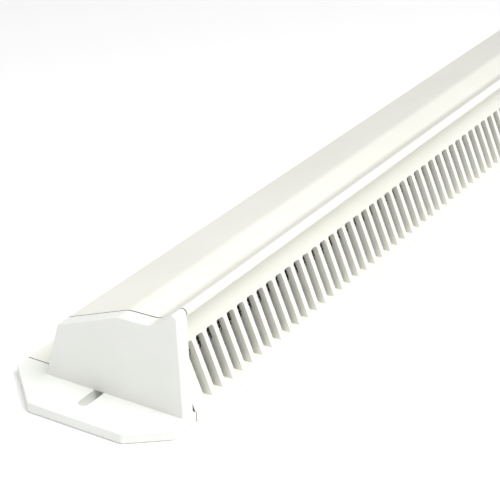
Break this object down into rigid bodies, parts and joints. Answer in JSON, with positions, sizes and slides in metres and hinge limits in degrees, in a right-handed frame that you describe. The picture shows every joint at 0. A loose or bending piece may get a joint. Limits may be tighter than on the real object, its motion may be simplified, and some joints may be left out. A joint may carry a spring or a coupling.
{
  "type": "slot ventilator",
  "caption": "White surface-mounted slot ventilator for a window frame: a slotted grille under a hinged cover with a finger lip, an inner closing flap and end caps with slotted fixing plates.",
  "frame": {"origin": "middle of the rear mounting face, at the centre of the bounding box's bottom", "axes": "+X along the ventilator towards the end with the control lever, +Y across towards the hinge side of the cover, away from the grille, +Z out of the window frame"},
  "size_m": [0.416, 0.065, 0.038],
  "materials": {
    "powder_coat": "smooth satin white powder coat on extruded aluminium",
    "cap_plastic": "moulded white plastic, fine matt texture",
    "inner_plastic": "natural moulded nylon",
    "screen_mesh": "black woven insect mesh",
    "foam": "open-cell dark grey foam",
    "rubber": "black extruded rubber seal",
    "steel": "zinc-plated steel"
  },
  "bodies": {
    "housing": {"rear_profile": "powder_coat", "grille_strip": "powder_coat", "end_cap_left": "cap_plastic", "end_cap_right": "cap_plastic", "cap_screw_left": "steel", "cap_screw_right": "steel", "insect_screen": "screen_mesh", "support_bracket_1": "inner_plastic", "support_bracket_2": "inner_plastic", "support_bracket_3": "inner_plastic", "rear_seal_grille_side": "foam", "rear_seal_wall_side": "foam", "cover_pin_left": "steel", "cover_pin_right": "steel", "shaft_bush_left": "inner_plastic", "shaft_bush_right": "inner_plastic"},
    "cover": {"front_cover": "powder_coat", "acoustic_foam": "foam", "cover_rest_seal": "rubber"},
    "flap": {"closing_flap": "powder_coat", "flap_seal": "rubber", "flap_pivot_pin": "steel", "flap_drive_shaft": "steel", "lever_spring_washer": "steel", "control_lever": "cap_plastic", "lever_screw": "steel"}
  },
  "joints": [
    {"name": "cover_hinge", "type": "hinge", "parent": "housing", "child": "cover", "pos_m": [0, 0.01756, 0.0062], "axis": [-1, 0, 0], "range_deg": [0, 75]},
    {"name": "flap_pivot", "type": "hinge", "parent": "housing", "child": "flap", "pos_m": [0, 0.0107, 0.0084], "axis": [-1, 0, 0], "range_deg": [0, 40]}
  ]
}
